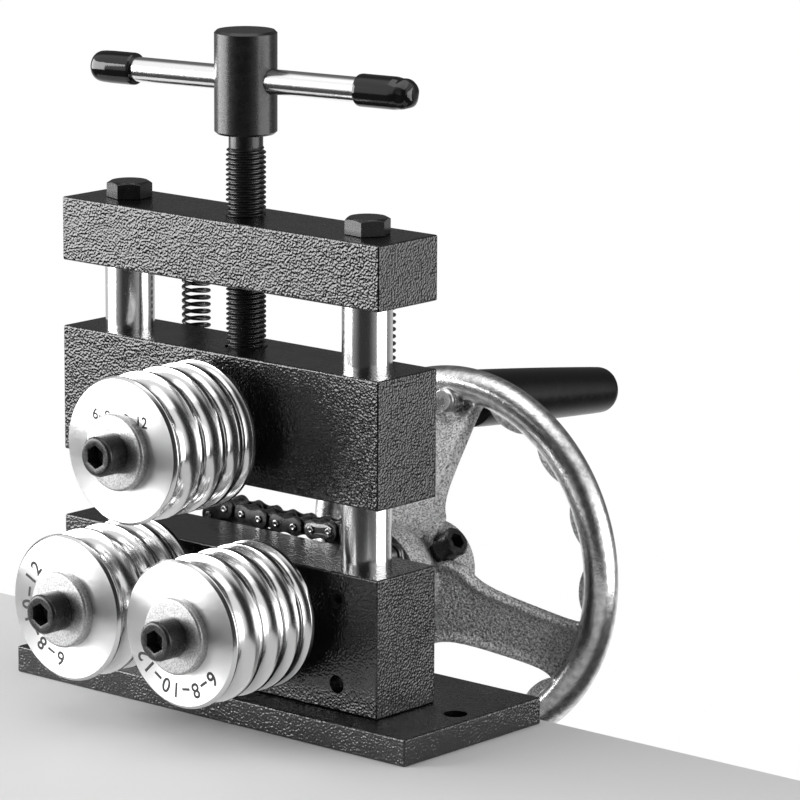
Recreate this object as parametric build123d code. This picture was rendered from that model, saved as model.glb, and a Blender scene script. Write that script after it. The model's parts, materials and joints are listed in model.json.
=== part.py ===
from build123d import *
from math import ceil, cos, pi, radians, sin
import os

# A bench ring roller. Millimetres, +Z up, X along the front faces, -Y towards the user.
# The origin is the middle of the base plate's underside.

# Base plate
base_length = 211.0
base_depth = 83.0
base_thick = 11.0
base_front_margin = 13.5  # plate in front of the blocks
blocks_offset = -5.5  # blocks' middle, from the plate's middle
bench_hole_d = 9.5
bench_hole_inset = 9.5  # hole centre to the plate's end
plate_round = 0.8

# The three blocks, one above the other
block_length = 170.0
block_depth = 35.0
lower_height = 56.0
press_height = 51.5
beam_height = 26.0
lower_gap = 27.5  # lower block to press block, at rest
upper_gap = 27.0  # press block to beam, at rest
block_round = 0.8

# Columns and the bolts that hold the beam on them
column_d = 20.0
column_spread = 128.0
column_seat = 10.0  # how far a column enters the beam
bolt_d = 10.0
bolt_flats = 16.0
bolt_head = 6.8
bolt_reach = 18.0  # thread inside the column

# Fits
running_gap = 0.05  # radial, a shaft turning or a block sliding
seat_gap = 0.02  # radial, a piece fixed in its seat
side_play = 0.3  # axial, between a turning piece and a fixed one

# Roller chain and its sprockets
chain_pitch = 9.525
sprocket_teeth = 15
run_links = 7  # links in each straight run
link_roller_d = 6.35
link_pin_d = 3.28
link_plate_height = 8.2
link_plate_thick = 1.3
link_inner_width = 5.72
link_plate_gap = 0.15  # between inner and outer plates
pin_proud = 0.9  # pin end beyond the outer plate
clip_thick = 0.7
chain_stand = 13.7  # chain's middle behind the blocks
sprocket_thick = 5.3
sprocket_hub_d = 34.0
tooth_depth = 2.5  # tip above the pitch circle
tooth_flare = 2.1  # a gap's widening on each side, towards the tips

# Shafts, bushes and rollers
shaft_d = 20.0
bush_wall = 3.0
lower_shaft_height = 35.8  # above the lower block's underside
upper_shaft_height = 20.5  # above the press block's underside
roller_d = 59.0
groove_widths = [12.0, 10.0, 8.0, 6.0]  # front to back
groove_land = 2.0
groove_shy = 0.8  # each groove's centre stands this far outside the roller
roller_stand = 8.6  # roller's back in front of its block
roller_chamfer = 1.2
collar_d = 28.0
shaft_end_sunk = 1.0  # shaft's front end inside the roller's face
washer_d = 30.7
washer_thick = 4.2
washer_chamfer = 0.8
cap_d = 10.0  # screws that hold the rollers
cap_head_d = 16.0
cap_head = 10.0
cap_reach = 28.0  # thread inside the shaft
key_side = 6.0
key_sunk = 3.5  # key's depth in the shaft
roller_key = 32.0
sprocket_key = 14.0
wheel_key = 20.0
ring_thick = 1.6
ring_deep = 0.9  # groove of a retaining ring
ring_d = 27.0
shaft_tail = 3.0  # shaft beyond its retaining ring

# Press screw and its bar
screw_d = 16.0
screw_pitch = 2.0
thread_depth = 1.1
pocket_deep = 14.0  # screw's pocket in the press block
pocket_play = 0.6
button_thick = 3.0
head_d = 25.0
head_height = 41.0
head_above_beam = 32.8  # beam's top to the head's underside
neck_length = 5.0  # plain end of the spindle under the head, at the thread's root
tenon_d = 9.8  # spindle's end inside the head
tenon_length = 9.0
head_chamfer = 1.0
bar_d = 10.0
bar_length = 146.0
bar_drop = 19.6  # below the head's top
bar_turn = 9.5  # degrees from X towards the rear
bar_play = 0.15
bar_cap_d = 13.0
bar_shift = 2.9  # bar's middle to the right of the screw's axis, at rest
bar_cap_lengths = {1: 25.0, -1: 20.0}  # right and left
bar_cap_end = 2.0  # cap's wall beyond the bar's end
bar_cap_round = 3.5

# Small screws
block_screw_d = 8.0
block_screw_head_d = 15.2
block_screw_reach = 16.0
block_screw_count = 4
block_screw_wall = 2.0  # metal between the outer screws and the columns
lock_screw_d = 8.0
lock_screw_height = 45.1  # above the lower block's underside
lock_screw_sunk = 0.8
guide_hole_d = 7.3
guide_hole_height = 10.9

# Return springs
spring_spread = 100.0
spring_d = 12.0
spring_wire = 1.45
spring_turns = 16
spring_stand = 6.8  # coil's middle behind the blocks
spring_end = 5.4  # each end's height, from the post to the first turn
post_d = 5.0
post_head_d = 9.0
post_head = 2.0
post_reach = 10.0
beam_post_height = 15.0  # above the beam's underside
press_post_height = 36.0  # above the press block's underside

# Handwheel, measured back from its boss's front face
wheel_stand = 26.0  # boss's front behind the blocks
boss_d = 43.4
boss_length = 11.5
hub_d = 42.0
hub_full_from = 17.0
hub_full_to = 27.0
hub_rear_d = 37.0
hub_length = 42.0
rim_d = 146.0  # across the rim tube's middle
rim_tube_d = 14.0
rim_back = 55.0
spoke_count = 3
top_spoke_angle = 93.0
dish_start = 14.0  # spokes' front at the hub's edge
dish_bend = 47.5  # spokes' front where the cone flattens
dish_end = 50.5
dish_bend_r = 60.0
spoke_thick = 8.0
spoke_root_width = 28.0
spoke_tip_width = 23.0
window_inner_r = 25.0
window_corner = 6.0
lobes_per_turn = 15
lobe_d = 10.0
lobe_length = 18.0
lobe_inset = 6.0  # lobe's middle inside the tube's middle
lobe_back = 2.0
clamp_d = 8.0  # radial screw in the hub
clamp_head_d = 12.0
clamp_head = 8.5
clamp_stand = 3.0  # its head stands off the hub, so that its tip holds the shaft
clamp_angle = 33.0
clamp_back = 19.0

# Handle
handle_inset = 6.3  # handle's axis inside the rim tube's middle
handle_lean = 6.4  # degrees below the wheel's axis
stud_d = 10.0
stud_proud = 4.5
shoulder_d = 15.0
shoulder_length = 5.5
shoulder_from = 8.0  # behind the spoke's front
grip_length = 90.0
grip_front_d = 24.0
grip_rear_d = 19.3
grip_round = 3.4
grip_wall = 8.0  # solid end behind the stud

# Worked out from the above
front_y = -base_depth / 2 + base_front_margin
rear_y = front_y + block_depth
middle_y = front_y + block_depth / 2
lower_top = base_thick + lower_height
press_z = lower_top + lower_gap
press_top = press_z + press_height
beam_z = press_top + upper_gap
beam_top = beam_z + beam_height
shaft_spread = (run_links - 0.5) * chain_pitch
left_x = blocks_offset - shaft_spread / 2
right_x = blocks_offset + shaft_spread / 2
lower_z = base_thick + lower_shaft_height
upper_z = press_z + upper_shaft_height
column_xs = [blocks_offset - column_spread / 2, blocks_offset + column_spread / 2]
spring_xs = [blocks_offset - spring_spread / 2, blocks_offset + spring_spread / 2]
post_zs = [press_z + press_post_height, beam_z + beam_post_height]
roller_length = sum(groove_widths) + groove_land * (len(groove_widths) + 1)
roller_front = roller_stand + roller_length
shaft_front = roller_front - shaft_end_sunk
bush_d = shaft_d + 2 * bush_wall
pitch_r = chain_pitch / (2 * sin(pi / sprocket_teeth))
chain_y = rear_y + chain_stand
sprocket_back = block_depth + chain_stand + sprocket_thick / 2
wheel_y = rear_y + wheel_stand
wheel_back = block_depth + wheel_stand
head_z = beam_top + head_above_beam
bar_z = head_z + head_height - bar_drop
tip_z = press_top - pocket_deep + button_thick
handle_r = rim_d / 2 - handle_inset
LOW = (Align.CENTER, Align.CENTER, Align.MIN)


# Shapes that repeat
def rod(radius, low, high):
    """Upright cylinder between two heights."""
    return Pos(0, 0, low) * Cylinder(radius, high - low, align=LOW)


def ring(outer, inner, low, high):
    return rod(outer, low, high) - rod(inner, low, high)


def turned(points):
    """Solid of revolution about Z from an outline of (radius, height) points."""
    return revolve(Plane.XZ * make_face(Polyline(*points, close=True)), Axis.Z)


def hexagon(flats, low, high):
    outline = RegularPolygon(flats / 2, 6, major_radius=False)
    return Pos(0, 0, low) * extrude(outline, high - low)


def front_of(x, z):
    """Frame on a block's front face: its +Z points at the user, its +Y is up."""
    return Plane(origin=(x, front_y, z), x_dir=(1, 0, 0), z_dir=(0, -1, 0))


def rounded_block(length, depth, height, radius):
    block = Box(length, depth, height, align=LOW)
    return fillet(block.edges(), radius)


def socket_screw(thread_d, head_d, head, reach, socket, edge=0.8):
    """Socket head screw with the underside of its head at zero and its thread below."""
    r = head_d / 2
    body = turned([(0, 0), (r, 0), (r, head - edge), (r - edge, head), (0, head)])
    return body + rod(thread_d / 2, -reach, 0) - hexagon(socket, head * 0.4, head)


# Base plate and blocks
def base_plate():
    plate = rounded_block(base_length, base_depth, base_thick, plate_round)
    for side in (-1, 1):
        hole_x = side * (base_length / 2 - bench_hole_inset)
        plate -= Pos(hole_x, 0, 0) * rod(bench_hole_d / 2, 0, base_thick)
    for x in block_screw_xs():
        plate -= Pos(x, middle_y, 0) * block_screw_shape(seat_gap, 0)
    return plate


def block_screw_xs():
    first = column_xs[0] + column_d / 2 + block_screw_wall + block_screw_d / 2
    spacing = 2 * (blocks_offset - first) / (block_screw_count - 1)
    return [first + i * spacing for i in range(block_screw_count)]


def block_screw_shape(spare, sunk):
    """Countersunk screw up through the plate, or with spare room its hole."""
    wide = block_screw_head_d / 2 + spare
    thin = block_screw_d / 2 + spare
    flank = wide - thin
    top = base_thick + block_screw_reach
    return turned([(0, sunk), (wide - sunk, sunk), (thin, flank), (thin, top), (0, top)])


def block_screws():
    sunk = 0.4
    screw = block_screw_shape(0, sunk) - hexagon(5, sunk, sunk + 3)
    return [Pos(x, middle_y, 0) * screw for x in block_screw_xs()]


def shaft_bore(x, z):
    return front_of(x, z) * rod(bush_d / 2, -block_depth, 0)


def post_bore(x, z):
    return Plane(origin=(x, rear_y, z), z_dir=(0, 1, 0)) * rod(post_d / 2 + seat_gap, -post_reach, 0)


def column_bores(gap, low, high):
    return [Pos(x, middle_y, 0) * rod(column_d / 2 + gap, low, high) for x in column_xs]


def lower_block():
    block = Pos(blocks_offset, middle_y, base_thick) * rounded_block(
        block_length, block_depth, lower_height, block_round
    )
    block -= column_bores(seat_gap, base_thick, lower_top)
    for x in (left_x, right_x):
        block -= shaft_bore(x, lower_z)
    wall = (block_depth - column_d) / 2
    lock_hole = rod(lock_screw_d / 2 + seat_gap, -wall - 1, 0)
    guide_hole = rod(guide_hole_d / 2, -wall - 1, 0)
    for x in column_xs:
        block -= front_of(x, base_thick + lock_screw_height) * lock_hole
        block -= front_of(x, base_thick + guide_hole_height) * guide_hole
    for x in block_screw_xs():
        block -= Pos(x, middle_y, 0) * block_screw_shape(seat_gap, 0)
    return block


def press_block():
    block = Pos(blocks_offset, middle_y, press_z) * rounded_block(
        block_length, block_depth, press_height, block_round
    )
    block -= column_bores(running_gap, press_z, press_top)
    block -= shaft_bore(blocks_offset, upper_z)
    pocket = rod(screw_d / 2 + pocket_play, press_top - pocket_deep, press_top)
    block -= Pos(blocks_offset, middle_y, 0) * pocket
    for x in spring_xs:
        block -= post_bore(x, post_zs[0])
    return block


def top_beam():
    beam = Pos(blocks_offset, middle_y, beam_z) * rounded_block(
        block_length, block_depth, beam_height, block_round
    )
    beam -= column_bores(seat_gap, beam_z, beam_z + column_seat)
    beam -= Pos(blocks_offset, middle_y, 0) * rod(screw_d / 2 + running_gap, beam_z, beam_top)
    for x in column_xs:
        beam -= Pos(x, middle_y, 0) * rod(bolt_d / 2 + running_gap, beam_z, beam_top)
    for x in spring_xs:
        beam -= post_bore(x, post_zs[1])
    return beam


# Columns, their bolts and lock screws
def columns():
    top = beam_z + column_seat
    bolt_low = beam_top - (beam_height - column_seat) - bolt_reach
    column = rod(column_d / 2, base_thick, top) - rod(bolt_d / 2 + seat_gap, bolt_low, top)
    return [Pos(x, middle_y, 0) * column for x in column_xs]


def beam_bolts():
    flat, corner = bolt_flats / 2, bolt_flats / 2 / cos(pi / 6)
    crown = [(corner, bolt_head - 1.2), (flat - 0.4, bolt_head), (0, bolt_head)]
    head = hexagon(bolt_flats, 0, bolt_head) & turned([(0, 0), (corner, 0)] + crown)
    bolt = head + rod(bolt_d / 2, column_seat - beam_height - bolt_reach, 0)
    return [Pos(x, middle_y, beam_top) * bolt for x in column_xs]


def lock_screws():
    wall = (block_depth - column_d) / 2
    screw = rod(lock_screw_d / 2, -wall, -lock_screw_sunk)
    screw -= hexagon(4, -lock_screw_sunk - 3, -lock_screw_sunk)
    return [front_of(x, base_thick + lock_screw_height) * screw for x in column_xs]


# Shaft sets: every shaft runs back from its roller through a bushed block
def bush(x, z):
    return front_of(x, z) * ring(bush_d / 2, shaft_d / 2 + running_gap, -block_depth, 0)


def key_shape(low, length, spare=0.0):
    """Square key along a shaft's upper side."""
    side = key_side + 2 * spare
    key = Box(side, side, length + 2 * spare, align=LOW)
    return Pos(0, shaft_d / 2 - key_sunk + key_side / 2, low - spare) * key


def keyed_places(kind):
    """Where each shaft's keys start, and their lengths."""
    places = [(roller_stand + (roller_length - roller_key) / 2, roller_key)]
    if kind != "upper":
        places.append((-block_depth - side_play - sprocket_key, sprocket_key))
    if kind == "right":
        places.append((-wheel_back - hub_length + (hub_length - wheel_key) / 2, wheel_key))
    return places


def ring_place(kind):
    """Front face of the retaining ring behind an upper or left shaft's last piece."""
    return -block_depth - side_play if kind == "upper" else -sprocket_back


def shaft_low(kind):
    if kind == "right":
        return -wheel_back - hub_length - 1
    return ring_place(kind) - ring_thick - shaft_tail


def shaft(kind):
    body = rod(shaft_d / 2, shaft_low(kind), shaft_front)
    body = chamfer(body.edges(), 0.8)
    body -= rod(cap_d / 2 + seat_gap, shaft_front - cap_reach, shaft_front)
    for low, length in keyed_places(kind):
        body -= key_shape(low, length, seat_gap)
    if kind != "right":
        high = ring_place(kind)
        body -= ring(shaft_d / 2, shaft_d / 2 - ring_deep, high - ring_thick, high)
    return body


def keys(kind):
    return [key_shape(low, length) for low, length in keyed_places(kind)]


def retaining_ring(kind):
    high = ring_place(kind)
    body = ring(ring_d / 2, shaft_d / 2 - ring_deep, high - ring_thick, high)
    mouth = Box(ring_d / 4, ring_d, ring_thick, align=(Align.CENTER, Align.MAX, Align.MIN))
    return body - Pos(0, 0, high - ring_thick) * mouth


def collar():
    return ring(collar_d / 2, shaft_d / 2 + seat_gap, side_play, roller_stand)


def roller():
    """Flanged cylinder with a row of half-round grooves."""
    r = roller_d / 2
    front_edge = [(r, roller_front - roller_chamfer), (r - roller_chamfer, roller_front)]
    body = turned([(0, roller_stand), (r, roller_stand), *front_edge, (0, roller_front)])
    z = roller_front
    for width in groove_widths:
        z -= groove_land + width / 2
        body -= Pos(0, 0, z) * Torus(r + groove_shy, width / 2)
        z -= width / 2
    body -= rod(shaft_d / 2 + seat_gap, roller_stand, roller_front)
    return body - key_shape(roller_stand, roller_length, seat_gap)


def roller_washer():
    front = roller_front + washer_thick
    body = turned([
        (0, roller_front),
        (washer_d / 2, roller_front),
        (washer_d / 2, front - washer_chamfer),
        (washer_d / 2 - washer_chamfer, front),
        (0, front),
    ])
    return body - rod(cap_d / 2 + running_gap, roller_front, front)


def roller_screw():
    reach = washer_thick + shaft_end_sunk + cap_reach
    screw = socket_screw(cap_d, cap_head_d, cap_head, reach, 8)
    return Pos(0, 0, roller_front + washer_thick) * screw


def sprocket(half_tooth):
    """Toothed disc with a hub towards the block; half_tooth turns it half a tooth."""
    tip = pitch_r + tooth_depth
    step = 360 / sprocket_teeth
    seat = link_roller_d / 2 + 0.08
    mouth, out = seat + tooth_flare, tooth_depth + 1
    gap = make_face(Polyline((0, -seat), (out, -mouth), (out, mouth), (0, seat), close=True))
    gap += Circle(seat)
    disc = Circle(tip)
    for i in range(sprocket_teeth):
        disc -= Rot(0, 0, 90 + step * (i + half_tooth)) * Pos(pitch_r, 0) * gap
    body = Pos(0, 0, -sprocket_back) * extrude(disc, sprocket_thick)
    body += rod(sprocket_hub_d / 2, -sprocket_back, -block_depth - side_play)
    body -= rod(shaft_d / 2 + seat_gap, -sprocket_back, -block_depth)
    hub_length = sprocket_back - block_depth
    return body - key_shape(-sprocket_back, hub_length, seat_gap)


def wheel_spacer():
    return ring(collar_d / 2 + 1, shaft_d / 2 + seat_gap, -wheel_back, -sprocket_back)


# Roller chain
def chain_joints():
    """Centres of the chain's pins in X and Z, clockwise from the top of the right sprocket."""
    step = 2 * pi / sprocket_teeth
    wrap = (sprocket_teeth - 1) // 2
    right = [arc_point(right_x, pi / 2 - k * step) for k in range(wrap + 1)]
    left = [arc_point(left_x, 3 * pi / 2 - k * step) for k in range(wrap + 1)]
    return right + between(right[-1], left[0]) + left + between(left[-1], right[0])


def arc_point(x, angle):
    return (x + pitch_r * cos(angle), lower_z + pitch_r * sin(angle))


def between(start, end):
    """Pins of a straight run, without its two ends."""
    share = [(i + 1) / run_links for i in range(run_links - 1)]
    return [(start[0] + (end[0] - start[0]) * s, start[1] + (end[1] - start[1]) * s) for s in share]


def link_place(i, stand):
    """Frame on link i's middle, its X along the link and its Z at the user."""
    joints = chain_joints()
    a, b = joints[i], joints[(i + 1) % len(joints)]
    middle = ((a[0] + b[0]) / 2, chain_y - stand, (a[1] + b[1]) / 2)
    return Plane(origin=middle, x_dir=(b[0] - a[0], 0, b[1] - a[1]), z_dir=(0, -1, 0))


def link_plates(first, inner_face):
    """Two plates on every second link, from link number first."""
    outline = SlotCenterToCenter(chain_pitch, link_plate_height)
    for side in (-1, 1):
        hole_x = side * chain_pitch / 2
        outline -= Pos(hole_x, 0) * Circle(link_pin_d / 2 + seat_gap)
    plate = extrude(outline, link_plate_thick)
    stands = (inner_face, -inner_face - link_plate_thick)
    return [link_place(i, stand) * plate for i in range(first, len(chain_joints()), 2) for stand in stands]


def outer_face():
    return link_inner_width / 2 + link_plate_thick + link_plate_gap


def on_joints(shape):
    return [Plane(origin=(x, chain_y, z), z_dir=(0, -1, 0)) * shape for x, z in chain_joints()]


def chain_pins():
    half = outer_face() + link_plate_thick + pin_proud
    pin = chamfer(rod(link_pin_d / 2, -half, half).edges(), 0.25)
    return on_joints(pin)


def chain_rollers():
    half = link_inner_width / 2
    return on_joints(ring(link_roller_d / 2, link_pin_d / 2 + seat_gap, -half, half))


def chain_clip():
    """Spring clip on the joining link, open at its right end."""
    outline = SlotCenterToCenter(chain_pitch, link_plate_height * 0.72)
    outline -= SlotCenterToCenter(chain_pitch, link_pin_d + 2 * seat_gap)
    outline -= Pos(chain_pitch, 0) * Rectangle(chain_pitch, link_pin_d + 2 * seat_gap)
    clip = extrude(outline, clip_thick)
    return link_place(len(chain_joints()) - 2, outer_face() + link_plate_thick) * clip


# Press screw, its head and bar
def press_screw():
    """Spindle with a ridge for each turn of its thread, a neck and a tenon for the head."""
    crest, root = screw_d / 2, screw_d / 2 - thread_depth
    thread_top = head_z - neck_length
    points = [(0, tip_z), (root, tip_z)]
    turn = [(root, 0.1), (crest, 0.45), (crest, 0.55), (root, 0.9)]
    for i in range(int((thread_top - tip_z) / screw_pitch)):
        points += [(radius, tip_z + (i + share) * screw_pitch) for radius, share in turn]
    tenon_top = head_z + tenon_length
    points += [(root, head_z), (tenon_d / 2, head_z), (tenon_d / 2, tenon_top), (0, tenon_top)]
    return Pos(blocks_offset, middle_y, 0) * turned(points)


def thrust_button():
    low, radius = press_top - pocket_deep, screw_d / 2 + pocket_play - 2 * seat_gap
    return Pos(blocks_offset, middle_y, 0) * rod(radius, low, low + button_thick)


def bar_frame():
    """Frame on the screw's axis with its Z along the bar, towards the bar's right end."""
    turn = radians(bar_turn)
    return Plane(origin=(blocks_offset, middle_y, bar_z), z_dir=(cos(turn), sin(turn), 0))


def screw_head():
    top, r, c = head_z + head_height, head_d / 2, head_chamfer
    head = turned([
        (0, head_z), (r - c, head_z), (r, head_z + c), (r, top - c), (r - c, top), (0, top)
    ])
    head -= rod(tenon_d / 2 + seat_gap, head_z, head_z + tenon_length)
    head = Pos(blocks_offset, middle_y, 0) * head
    return head - bar_frame() * rod(bar_d / 2 + bar_play, -head_d, head_d)


def tommy_bar():
    return bar_frame() * rod(bar_d / 2, bar_shift - bar_length / 2, bar_shift + bar_length / 2)


def bar_cap(side):
    """Cap with a rounded end, drawn towards the right and turned over for side -1."""
    end = bar_length / 2 + side * bar_shift
    high = end + bar_cap_end
    low = high - bar_cap_lengths[side]
    cap = fillet(rod(bar_cap_d / 2, low, high).edges().sort_by(Axis.Z)[-1], bar_cap_round)
    cap = chamfer(cap.edges().sort_by(Axis.Z)[0], 0.6)
    cap -= rod(bar_d / 2 + seat_gap, low, end)
    return bar_frame() * Rot(0, 90 - 90 * side, 0) * cap


# Return springs and their posts
def spring_posts(z):
    reach = spring_stand + spring_wire / 2 + 1.5
    post = rod(post_d / 2, -post_reach, reach) + rod(post_head_d / 2, reach, reach + post_head)
    return [Plane(origin=(x, rear_y, z), z_dir=(0, 1, 0)) * post for x in spring_xs]


def biarc(start, start_way, end, end_way):
    """Two arcs that meet smoothly between two points with given directions."""
    chord = end - start
    total = start_way + end_way
    lean = 2 * (1 - start_way.dot(end_way))
    along = chord.dot(total)
    reach = ((along * along + lean * chord.dot(chord)) ** 0.5 - along) / lean
    knee_a, knee_b = start + start_way * reach, end - end_way * reach
    joint = (knee_a + knee_b) * 0.5
    way = (knee_b - knee_a).normalized()
    return [Edge.make_tangent_arc(start, start_way, joint), Edge.make_tangent_arc(joint, way, end)]


def coil_point(turn):
    """Point and direction of the wire's middle after so many turns, going down."""
    r = (spring_d - spring_wire) / 2
    angle = 2 * pi * turn
    fall = coil_length() / spring_turns
    point = Vector(r * cos(angle), r * sin(angle), -spring_end - fall * turn)
    way = Vector(-2 * pi * r * sin(angle), 2 * pi * r * cos(angle), -fall).normalized()
    return point, way


def spring_length():
    return post_zs[1] - post_zs[0] - post_d


def coil_length():
    return spring_length() - 2 * spring_end


def return_springs():
    """Coils in quarter turns, each end brought to the axis and square to its post."""
    down = Vector(0, 0, -1)
    lead = spring_wire
    path = [Edge.make_line((0, 0, 0), (0, 0, -lead))]
    stops = [coil_point(i / 4) for i in range(spring_turns * 4 + 1)]
    foot = -spring_length() + lead
    stops = [(Vector(0, 0, -lead), down), *stops, (Vector(0, 0, foot), down)]
    for (a, way_a), (b, way_b) in zip(stops, stops[1:]):
        path += biarc(a, way_a, b, way_b)
    path.append(Edge.make_line((0, 0, foot), (0, 0, foot - lead)))
    wire = Wire(path)
    spring = sweep(Plane(origin=(0, 0, 0), z_dir=(0, 0, -1)) * Circle(spring_wire / 2), wire)
    swept = wire.length * pi * spring_wire**2 / 4
    print("spring volume over its wire's length times section", round(spring.volume / swept, 4))
    print("spring's least gap to itself", round(least_gap(wire), 2))
    top = post_zs[1] - post_d / 2
    return [Pos(x, rear_y + spring_stand, top) * spring for x in spring_xs]


def least_gap(wire):
    """Least distance between stretches of the wire that are over half a turn apart."""
    half_turn = pi * (spring_d - spring_wire) / 2
    count = ceil(wire.length / 0.4)
    points = [wire @ (i / count) for i in range(count + 1)]
    skip, turn = ceil(half_turn / 0.4), ceil(2.6 * half_turn / 0.4)
    near = [(a - b).length for i, a in enumerate(points) for b in points[i + skip : i + turn]]
    return min(near) - spring_wire


# Handwheel
def wheel_place():
    return Plane(origin=(right_x, wheel_y, lower_z), x_dir=(1, 0, 0), z_dir=(0, -1, 0))


def spoke_angles():
    return [top_spoke_angle - 360 / spoke_count * i for i in range(spoke_count)]


def dish():
    """Cone of the spokes' thickness, from the hub into the rim."""
    inner, outer = shaft_d / 2 + 4, rim_d / 2
    slope = (dish_bend - dish_start) / (dish_bend_r - hub_d / 2)
    start = dish_start - slope * (hub_d / 2 - inner)
    front = [(inner, -start), (dish_bend_r, -dish_bend), (outer, -dish_end)]
    back = [(inner, -start - spoke_thick - 1), (dish_bend_r - 3, -dish_bend - spoke_thick)]
    back.append((outer, -dish_end - spoke_thick))
    return turned(front + back[::-1])


def windows():
    """The three openings between the spokes, with rounded corners."""
    rim_inner = (rim_d - rim_tube_d) / 2 + 1
    field = Circle(rim_inner) - Circle(window_inner_r)
    root, tip = spoke_root_width / 2, spoke_tip_width / 2
    bar = make_face(Polyline((0, -root), (rim_d / 2, -tip), (rim_d / 2, tip), (0, root), close=True))
    for angle in spoke_angles():
        field -= Rot(0, 0, angle) * bar
    field = fillet(field.vertices(), window_corner)
    return Pos(0, 0, -rim_back - rim_tube_d) * extrude(field, rim_back + rim_tube_d)


def lobe():
    """Rounded bead along the tube, drawn along Z."""
    r, half = lobe_d / 2, lobe_length / 2
    outline = Line((0, -half), (0, half)) + RadiusArc((0, half), (r, half - r), r)
    outline += Line((r, half - r), (r, r - half))
    outline += RadiusArc((r, r - half), (0, -half), r)
    return revolve(Plane.XZ * make_face(outline), Axis.Z)


def lobe_angles():
    step = 360 / lobes_per_turn
    every = lobes_per_turn // spoke_count
    return [top_spoke_angle - step * i for i in range(lobes_per_turn) if i % every]


def hub():
    boss, full, rear = boss_d / 2, hub_d / 2, hub_rear_d / 2
    outline = [(0, 0), (boss, 0), (boss + 0.8, -boss_length), (full, -hub_full_from)]
    return turned(outline + [(full, -hub_full_to), (rear, -hub_length), (0, -hub_length)])


def handwheel():
    """Hub, dished spokes and rim as one casting, with its keyway and screw holes."""
    wheel = dish() - windows() + hub() + Pos(0, 0, -rim_back) * Torus(rim_d / 2, rim_tube_d / 2)
    bead_r = rim_d / 2 - lobe_inset
    for angle in lobe_angles():
        wheel += Rot(0, 0, angle) * Pos(bead_r, 0, -rim_back - lobe_back) * Rot(90, 0, 0) * lobe()
    wheel -= rod(shaft_d / 2 + seat_gap, -hub_length, 0)
    wheel -= key_shape(-hub_length, hub_length, seat_gap)
    wheel -= clamp_place() * rod(clamp_d / 2 + seat_gap, 0, hub_d)
    wheel -= clamp_place() * rod(clamp_head_d / 2 + 1, hub_d / 2 + clamp_stand - 0.5, hub_d)
    wheel = wheel_place() * wheel
    seat = handle_frame() * rod(shoulder_d / 2 + 1, shoulder_from, shoulder_from + 2 * spoke_thick)
    return wheel - seat - handle_frame() * rod(stud_d / 2 + seat_gap, -spoke_thick, 2 * spoke_thick)


def clamp_place():
    """Frame on the wheel's axis with its Z out along the radial screw."""
    angle = radians(clamp_angle)
    return Plane(origin=(0, 0, -clamp_back), z_dir=(cos(angle), sin(angle), 0))


def wheel_screw():
    seat = hub_d / 2 + clamp_stand
    screw = socket_screw(clamp_d, clamp_head_d, clamp_head, seat - shaft_d / 2, 6)
    return wheel_place() * clamp_place() * Pos(0, 0, seat) * screw


# Handle
def handle_frame():
    """Frame on the top spoke's front with its Z back along the grip."""
    angle, lean = radians(top_spoke_angle), radians(handle_lean)
    x, z = right_x + handle_r * cos(angle), lower_z + handle_r * sin(angle)
    back = dish_bend + (dish_end - dish_bend) * (handle_r - dish_bend_r) / (rim_d / 2 - dish_bend_r)
    return Plane(origin=(x, wheel_y + back, z), z_dir=(0, cos(lean), -sin(lean)))


def grip_from():
    return shoulder_from + shoulder_length + side_play


def handle_stud():
    end = grip_from() + grip_length - grip_wall - side_play
    pin = rod(stud_d / 2, -stud_proud, end)
    shoulder = rod(shoulder_d / 2, shoulder_from, shoulder_from + shoulder_length)
    return handle_frame() * (chamfer(pin.edges(), 0.8) + shoulder)


def grip():
    low, front, rear = grip_from(), grip_front_d / 2, grip_rear_d / 2
    body = turned([(0, low), (front, low), (rear, low + grip_length), (0, low + grip_length)])
    body = fillet(body.edges().sort_by(Axis.Z)[-1], grip_round)
    body = fillet(body.edges().sort_by(Axis.Z)[0], 1.5)
    body -= rod(stud_d / 2 + running_gap, low, low + grip_length - grip_wall)
    return handle_frame() * body


# Every node with its solids
def shaft_set(kind, x, z):
    """A roller with all that turns with it, as node names and solids."""
    place = front_of(x, z)
    pieces = {
        f"{kind}_roller": [roller()],
        f"{kind}_shaft": [shaft(kind)],
        f"{kind}_keys": keys(kind),
        f"{kind}_washer": [roller_washer()],
        f"{kind}_screw": [roller_screw()],
        f"{kind}_collar": [collar()],
    }
    if kind != "upper":
        pieces[f"{kind}_sprocket"] = [sprocket(0.5 if kind == "left" else 0)]
    if kind != "right":
        pieces[f"{kind}_ring"] = [retaining_ring(kind)]
    else:
        pieces["wheel_spacer"] = [wheel_spacer()]
    return {name: [place * solid for solid in solids] for name, solids in pieces.items()}


nodes = {
    "base_plate": [base_plate()],
    "lower_block": [lower_block()],
    "press_block": [press_block()],
    "top_beam": [top_beam()],
    "columns": columns(),
    "beam_bolts": beam_bolts(),
    "lock_screws": lock_screws(),
    "block_screws": block_screws(),
    "lower_bushes": [bush(left_x, lower_z), bush(right_x, lower_z)],
    "press_bush": [bush(blocks_offset, upper_z)],
    "press_screw": [press_screw()],
    "thrust_button": [thrust_button()],
    "screw_head": [screw_head()],
    "tommy_bar": [tommy_bar()],
    "bar_caps": [bar_cap(1), bar_cap(-1)],
    "press_posts": spring_posts(post_zs[0]),
    "beam_posts": spring_posts(post_zs[1]),
    "return_springs": return_springs(),
    "chain_outer_plates": link_plates(0, outer_face()),
    "chain_inner_plates": link_plates(1, link_inner_width / 2),
    "chain_pins": chain_pins(),
    "chain_rollers": chain_rollers(),
    "chain_clip": [chain_clip()],
    "handwheel": [handwheel()],
    "wheel_screw": [wheel_screw()],
    "handle_stud": [handle_stud()],
    "grip": [grip()],
    **shaft_set("upper", blocks_offset, upper_z),
    **shaft_set("left", left_x, lower_z),
    **shaft_set("right", right_x, lower_z),
}

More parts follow.
